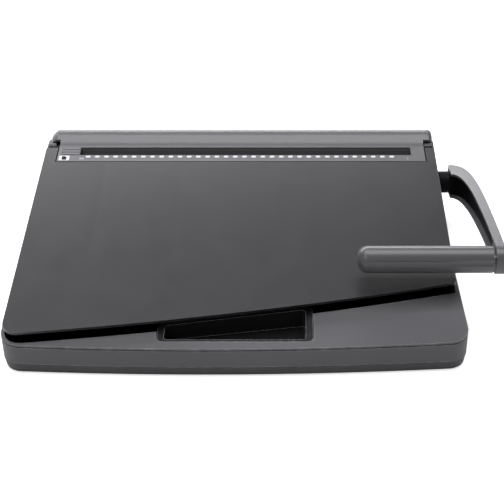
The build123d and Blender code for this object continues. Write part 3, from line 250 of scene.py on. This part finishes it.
def moulded_plastic(name, colour, roughness, depth=GRAIN_DEPTH, specular=0.5, wear_and_highlight_strength=0.35, edge=EDGE_WEAR_AND_HIGHLIGHT):
    """Spark-eroded moulded plastic: fine grain, cloudy tone, smudged gloss, and edges made lighter, partly
    worn by rubbing and partly a painted highlight.
    """
    shader = Shader(name)
    cloud = shader.noise(CLOUD_SCALE, 3.0, 0.6)
    speck = shader.noise(SPECK_SCALE, 2.0, 0.7)
    smudge = shader.noise(SMUDGE_SCALE, 4.0, 0.65)
    tone = shader.mix(shader.spread(cloud), scaled(colour, 0.97), scaled(colour, 1.03))
    tone = shader.mix(shader.remap(speck, 0.35, 0.65, 0.0, 0.25), tone, scaled(colour, 1.25))
    # Lighter, glossier edges: partly worn by rubbing, partly a painted highlight along the edge lines.
    edges = shader.edge_mask(edge, high=0.14)
    uneven = shader.remap(shader.noise(RUB_SCALE, 3.0), 0.4, 0.7, 0.2, 1.0)
    worn_and_highlit_edges = shader.math("MULTIPLY", edges, uneven)
    tone = shader.mix(shader.math("MULTIPLY", worn_and_highlit_edges, wear_and_highlight_strength), tone, worn_and_highlight_tone(colour))
    shader.surface("Base Color", tone)
    gloss = shader.spread(smudge, roughness - 0.01, roughness + 0.02)
    polish = shader.math("MULTIPLY", worn_and_highlit_edges, 0.12)
    shader.surface("Roughness", shader.math("SUBTRACT", gloss, polish, clamp=True))
    shader.surface("Normal", shader.bump(shader.noise(GRAIN_SCALE, 4.0, 0.6), depth))
    shader.surface("Specular IOR Level", specular)
    return shader


def metal(name, colour, roughness, brush=(1.0, 1.0, 1.0), grease=0.25):
    """Steel or bronze with directional tool marks, dull patches and bright edges."""
    shader = Shader(name)
    lines = shader.noise(BRUSH_SCALE, 4.0, 0.7, stretch=brush)
    patch = shader.noise(PATCH_SCALE, 4.0, 0.65)
    tone = shader.mix(shader.spread(lines), scaled(colour, 0.82), scaled(colour, 1.1))
    tone = shader.mix(shader.remap(patch, 0.45, 0.75, 0.0, grease), tone, scaled(colour, 0.45))
    edges = shader.edge_mask(METAL_EDGE_RUB)
    tone = shader.mix(shader.math("MULTIPLY", edges, 0.6), tone, scaled(colour, 1.4))
    shader.surface("Base Color", tone)
    shader.surface("Metallic", 1.0)
    shader.surface("Roughness", shader.spread(patch, roughness - 0.08, roughness + 0.12))
    shader.surface("Normal", shader.bump(lines, BRUSH_DEPTH))
    return shader


def gloss_black(name):
    """Polished black styrene: deep, with hairline scuffs, a little dust and a painted highlight on its edges.
    """
    shader = Shader(name)
    dust = shader.noise(DUST_SCALE, 2.0, 0.8)
    dusty = shader.remap(dust, 0.7, 0.85, 0.0, 0.3)
    tone = shader.mix(dusty, (0.012, 0.012, 0.013), (0.04, 0.04, 0.042))
    # Painted highlight: the edges are lightened to grey.
    tone = shader.mix(shader.edge_mask(WELL_EDGE_HIGHLIGHT), tone, (0.5, 0.5, 0.52))
    shader.surface("Base Color", tone)
    scuff = shader.noise(SCUFF_SCALE, 3.0, 0.7, stretch=(1.0, 0.12, 1.0))
    shader.surface("Roughness", shader.remap(scuff, 0.4, 0.8, 0.16, 0.34))
    shader.surface("Normal", shader.bump(scuff, SCUFF_DEPTH))
    return shader


def rubber(name, colour):
    """Dull moulded rubber with a coarse grain."""
    shader = Shader(name)
    cloud = shader.noise(RUBBER_SCALE, 4.0, 0.7)
    tone = shader.mix(shader.spread(cloud), scaled(colour, 0.8), scaled(colour, 1.5))
    shader.surface("Base Color", tone)
    shader.surface("Roughness", shader.spread(cloud, 0.75, 0.95))
    shader.surface("Normal", shader.bump(shader.noise(RUBBER_GRAIN_SCALE, 3.0), RUBBER_DEPTH))
    return shader


def printed_ink(name, colour):
    """Pad-printed ink: slightly uneven cover over the plastic grain."""
    shader = Shader(name)
    thin = shader.noise(INK_SCALE, 3.0, 0.7)
    tone = shader.mix(shader.remap(thin, 0.35, 0.8, 0.0, 0.3), colour, scaled(colour, 0.72))
    shader.surface("Base Color", tone)
    shader.surface("Roughness", shader.spread(thin, 0.45, 0.65))
    shader.surface("Normal", shader.bump(thin, INK_DEPTH))
    return shader


def lid_plastic():
    """The lid's plastic, with the faint sink lines where ribs meet the skin below."""
    colour = (0.009, 0.009, 0.0103)
    # Edges lightened at full strength and over a wider reach: partly worn by rubbing, partly a painted
    # highlight line along the lid's edges.
    shader = moulded_plastic("lid_plastic", colour, roughness=0.32, wear_and_highlight_strength=1.0, edge=LID_EDGE_WEAR_AND_HIGHLIGHT)
    x = shader.axis("X")
    height = None
    for line in SINK_LINES:
        away = shader.math("ABSOLUTE", shader.math("SUBTRACT", x, line))
        dip = shader.remap(away, 0.0, SINK_HALF_WIDTH, 0.0, 1.0)
        height = dip if height is None else shader.math("ADD", height, dip)
    fine = shader.bsdf.inputs["Normal"].links[0].from_socket
    shader.surface("Normal", shader.bump(height, SINK_DEPTH, fine))
    return shader


def housing_plastic():
    """The case's plastic, with edges lightened more widely than on the other mouldings: partly worn by
    rubbing, partly a painted highlight line.
    """
    colour = (0.074, 0.074, 0.079)
    return moulded_plastic(
        "housing_plastic", colour, roughness=0.48, specular=0.35, wear_and_highlight_strength=1.0, edge=HOUSING_EDGE_WEAR_AND_HIGHLIGHT
    )


def handle_plastic():
    """The handle's plastic, smoother than the case's."""
    colour = (0.075, 0.075, 0.079)
    return moulded_plastic("handle_plastic", colour, roughness=0.3, depth=SMOOTH_GRAIN_DEPTH, wear_and_highlight_strength=0.25)


MATERIALS = {
    "lid": lid_plastic(),
    "housing": housing_plastic(),
    "cover": moulded_plastic("cover_plastic", (0.1, 0.1, 0.105), roughness=0.3),
    "pan": moulded_plastic("pan_plastic", (0.035, 0.035, 0.037), roughness=0.5),
    "handle": handle_plastic(),
    "black": moulded_plastic("black_plastic", (0.004, 0.004, 0.0045), roughness=0.5, specular=0.08),
    "well": gloss_black("well_gloss"),
    "steel": metal("zinc_steel", (0.56, 0.57, 0.6), roughness=0.34, brush=(0.15, 1.0, 1.0)),
    "tool": metal("tool_steel", (0.42, 0.42, 0.44), roughness=0.28, brush=(1.0, 0.2, 1.0), grease=0.45),
    "dark_steel": metal("phosphated_steel", (0.05, 0.05, 0.052), roughness=0.5),
    "bronze": metal("sintered_bronze", (0.62, 0.44, 0.24), roughness=0.4),
    "screw": metal("screw_steel", (0.5, 0.5, 0.53), roughness=0.3),
    "rubber": rubber("foot_rubber", (0.02, 0.02, 0.02)),
    "ink": printed_ink("white_ink", (0.66, 0.67, 0.68)),
    "grey_ink": printed_ink("grey_ink", (0.32, 0.33, 0.34)),
}

NODE_MATERIALS = {
    "lid": ["lid"],
    "housing": ["upper_housing"],
    "cover": ["rear_cover", "edge_guide"],
    "pan": ["base_pan", "chip_tray", "slot_liner"],
    "handle": ["arm_shell", "grip_upper", "grip_lower"],
    "black": ["inner_tray", "mechanism_cover", "paper_stop", "arm_core", "handle_hub"],
    "well": ["finger_well"],
    "steel": [
        "side_frame_left",
        "side_frame_right",
        "tie_rods",
        "draw_bars",
        "closer_jaw",
        "closer_anvil",
    ],
    "dark_steel": ["hinge_bracket_left", "hinge_bracket_right", "hinge_pins"],
    "tool": [
        "guide_plate",
        "die_plate",
        "punch_pins",
        "pressure_bar",
        "backing_strip",
        "rack_left",
        "rack_right",
        "punch_shaft",
        "reduction_gear",
        "drive_pinions",
        "handle_shaft",
        "handle_pinion",
        "grip_rod",
    ],
    "bronze": ["shaft_bushes", "handle_bushes"],
    "screw": ["pan_screws", "frame_screws", "anvil_screws", "hinge_screws"],
    "rubber": ["rubber_feet", "lid_bumpers"],
}

# Width of the softened edges, in millimetres
BEVELS = {
    "upper_housing": 0.35,
    "lid": 0.7,
    "rear_cover": 0.5,
    "base_pan": 0.6,
    "finger_well": 0.5,
    "arm_shell": 0.9,
    "arm_core": 0.4,
    "grip_upper": 0.35,
    "grip_lower": 0.35,
    "slot_liner": 0.25,
    "chip_tray": 0.5,
    "inner_tray": 0.5,
    "mechanism_cover": 0.3,
    "handle_hub": 0.4,
    "closer_anvil": 0.25,
    "closer_jaw": 0.25,
}


def soften_edges(node, width):
    """Round a node's sharp edges, and keep its large faces shaded flat."""
    weld = node.modifiers.new("weld", "WELD")
    weld.merge_threshold = WELD_DISTANCE
    bevel = node.modifiers.new("bevel", "BEVEL")
    bevel.width = width
    bevel.segments = BEVEL_SEGMENTS
    bevel.limit_method = "ANGLE"
    bevel.angle_limit = BEVEL_ANGLE
    weighted = node.modifiers.new("weighted_normal", "WEIGHTED_NORMAL")
    weighted.mode = "FACE_AREA"
    weighted.weight = NORMAL_WEIGHT
    weighted.keep_sharp = True


def dress_nodes():
    """Give every CAD node its material, and soften the edges of the larger pieces."""
    for material, nodes in NODE_MATERIALS.items():
        for name in nodes:
            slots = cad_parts[name].data.materials
            slots.clear()
            slots.append(MATERIALS[material].material)
    for name, width in BEVELS.items():
        soften_edges(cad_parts[name], width * MM)


# ---------------------------------------------------------------- printed marks


def tongue_front():
    """The top front edge of the slot tongue: its y and its height."""
    corners = [vertex.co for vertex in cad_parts["rear_cover"].data.vertices]
    front_y = min(corner.y for corner in corners)
    front_z = max(corner.z for corner in corners if corner.y < front_y + MM / 2)
    return front_y, front_z


TONGUE_Y, TONGUE_Z = tongue_front()
SLOT_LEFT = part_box("slot_liner")[0][0]
SLOT_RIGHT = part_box("slot_liner")[1][0]


def on_tongue(x, setback, lift=INK_LIFT):
    """Matrix that lays a plate on the tongue's sloping top."""
    height = TONGUE_Z + math.tan(SLOPE) * setback + lift
    place = Matrix.Translation((x, TONGUE_Y + setback, height))
    return place @ Matrix.Rotation(SLOPE, 4, "X")


def ink_plate(name, outline, matrix):
    """A layer of ink: a thin plate from a flat outline, placed by matrix."""
    mesh = bpy.data.meshes.new(name)
    work = bmesh.new()
    face = work.faces.new([work.verts.new((x, y, 0.0)) for x, y in outline])
    pushed = bmesh.ops.extrude_face_region(work, geom=[face])
    top = [item for item in pushed["geom"] if isinstance(item, bmesh.types.BMVert)]
    bmesh.ops.translate(work, verts=top, vec=(0, 0, INK_THICK))
    bmesh.ops.recalc_face_normals(work, faces=work.faces)
    work.transform(matrix)
    work.to_mesh(mesh)
    work.free()
    piece = bpy.data.objects.new(name, mesh)
    bpy.context.scene.collection.objects.link(piece)
    return piece


def rounded_rectangle(width, depth, radius):
    """Outline of a rectangle with round corners, counter-clockwise."""
    points = []
    corners = ((1, 1, 0), (-1, 1, 90), (-1, -1, 180), (1, -1, 270))
    for side_x, side_y, start in corners:
        for step in range(INK_CORNER_STEPS + 1):
            angle = math.radians(start + 90 * step / INK_CORNER_STEPS)
            x = side_x * (width / 2 - radius) + radius * math.cos(angle)
            y = side_y * (depth / 2 - radius) + radius * math.sin(angle)
            points.append((x, y))
    return points


def join_pieces(pieces, name):
    bpy.ops.object.select_all(action="DESELECT")
    for piece in pieces:
        piece.select_set(True)
    bpy.context.view_layer.objects.active = pieces[0]
    bpy.ops.object.join()
    pieces[0].name = name
    return pieces[0]


def print_on_base(piece, material):
    """Give a printed piece its ink, and let it ride on the case."""
    piece.data.materials.append(MATERIALS[material].material)
    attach(piece, "base")


def hole_marks():
    """One white mark for each hole, printed in front of the slot."""
    outline = rounded_rectangle(MARK_WIDTH, MARK_DEPTH, MARK_CORNER)
    marks = []
    for number in range(HOLE_COUNT):
        x = (number - (HOLE_COUNT - 1) / 2) * HOLE_PITCH
        marks.append(ink_plate("mark", outline, on_tongue(x, MARK_SETBACK)))
    print_on_base(join_pieces(marks, "hole_marks"), "ink")


def page_label():
    """White label at the left end of the tongue."""
    outline = rounded_rectangle(LABEL_WIDTH, LABEL_DEPTH, LABEL_CORNER)
    place = on_tongue(SLOT_LEFT + LABEL_INSET, LABEL_SETBACK)
    print_on_base(ink_plate("page_label", outline, place), "ink")


def page_pictogram():
    """A plain dark page with one clipped corner, on the label."""
    right = PAGE_WIDTH / 2
    top = PAGE_DEPTH / 2
    clipped = [(right, top - PAGE_FOLD), (right - PAGE_FOLD, top)]
    outline = [(-right, -top), (right, -top), *clipped, (-right, top)]
    place = on_tongue(SLOT_LEFT + LABEL_INSET, LABEL_SETBACK, lift=2 * INK_THICK)
    print_on_base(ink_plate("page_pictogram", outline, place), "black")


def guide_ticks():
    """The small grey guide ticks near both ends of the slot."""
    left = on_tongue(SLOT_LEFT + LEFT_TICK_INSET, LEFT_TICK_SETBACK)
    right = on_tongue(SLOT_RIGHT - RIGHT_TICK_INSET, RIGHT_TICK_SETBACK)
    ticks = [
        ink_plate("tick", rounded_rectangle(*LEFT_TICK_SIZE, TICK_CORNER), left),
        ink_plate("tick", rounded_rectangle(*RIGHT_TICK_SIZE, TICK_CORNER), right),
    ]
    print_on_base(join_pieces(ticks, "guide_ticks"), "grey_ink")


# ---------------------------------------------------------------- studio


def area_light(name, place, target, size, watts, colour=WHITE):
    data = bpy.data.lights.new(name, "AREA")
    data.shape = "RECTANGLE"
    data.size, data.size_y = size
    data.energy = watts
    data.color = colour
    light = bpy.data.objects.new(name, data)
    light.location = place
    aim = Vector(target) - Vector(place)
    light.rotation_euler = aim.to_track_quat("-Z", "Y").to_euler()
    bpy.context.scene.collection.objects.link(light)


def lights():
    """Softboxes above and behind, a small key from the front left, a low fill from the front."""
    area_light("overhead_softbox", (-0.1, 0.25, 2.0), (-0.1, 0.15, 0), (2.4, 1.4), watts=46.0, colour=COOL)
    area_light("rear_softbox", (-0.45, 1.6, 0.82), (0, 0.1, 0.05), (2.2, 0.8), watts=29.0, colour=COOL)
    area_light("front_key", (-0.8, -0.95, 1.25), (0, -0.1, 0.03), (0.9, 0.2), watts=4.0)
    area_light("low_fill", (0.3, -1.3, 0.3), (0.1, 0, 0.05), (1.6, 0.4), watts=1.2)


def floor_paper():
    """Pale paper that looks brighter to the camera than it lights the object."""
    shader = Shader("floor_paper")
    cloud = shader.noise(PAPER_SCALE, 2.0)
    tone = shader.mix(shader.spread(cloud), (0.93, 0.93, 0.93), (0.95, 0.95, 0.95))
    shader.surface("Base Color", tone)
    shader.surface("Roughness", 0.9)
    shader.surface("Emission Color", rgba(WHITE))
    seen = shader.add("ShaderNodeLightPath").outputs["Is Camera Ray"]
    shader.surface("Emission Strength", shader.math("MULTIPLY", seen, FLOOR_GLOW))
    return shader


def floor():
    mesh = bpy.data.meshes.new("floor")
    work = bmesh.new()
    bmesh.ops.create_grid(work, x_segments=FLOOR_CELLS, y_segments=FLOOR_CELLS, size=FLOOR_SIZE / 2)
    work.to_mesh(mesh)
    work.free()
    sheet = bpy.data.objects.new("floor", mesh)
    bpy.context.scene.collection.objects.link(sheet)
    sheet.data.materials.append(floor_paper().material)


def surroundings():
    """A white backdrop for the camera that lights the object only dimly."""
    world = bpy.data.worlds.new("studio")
    world.use_nodes = True
    tree = world.node_tree
    background = tree.nodes["Background"]
    path = tree.nodes.new("ShaderNodeLightPath")
    level = tree.nodes.new("ShaderNodeMapRange")
    level.inputs["To Min"].default_value = AMBIENT
    level.inputs["To Max"].default_value = 1.0
    tree.links.new(path.outputs["Is Camera Ray"], level.inputs["Value"])
    tree.links.new(level.outputs["Result"], background.inputs["Strength"])
    background.inputs["Color"].default_value = rgba(WHITE)
    bpy.context.scene.world = world


def camera():
    data = bpy.data.cameras.new("camera")
    data.lens = CAMERA_LENS
    data.sensor_width = CAMERA_SENSOR
    data.shift_x = CAMERA_SHIFT_X
    data.clip_start = CAMERA_CLIP_START
    piece = bpy.data.objects.new("camera", data)
    piece.location = CAMERA_PLACE
    piece.rotation_euler = (CAMERA_TILT, 0.0, 0.0)
    bpy.context.scene.collection.objects.link(piece)
    bpy.context.scene.camera = piece


dress_nodes()
hole_marks()
page_label()
page_pictogram()
guide_ticks()
floor()
surroundings()
lights()
camera()
bpy.context.scene.view_settings.view_transform = "Standard"
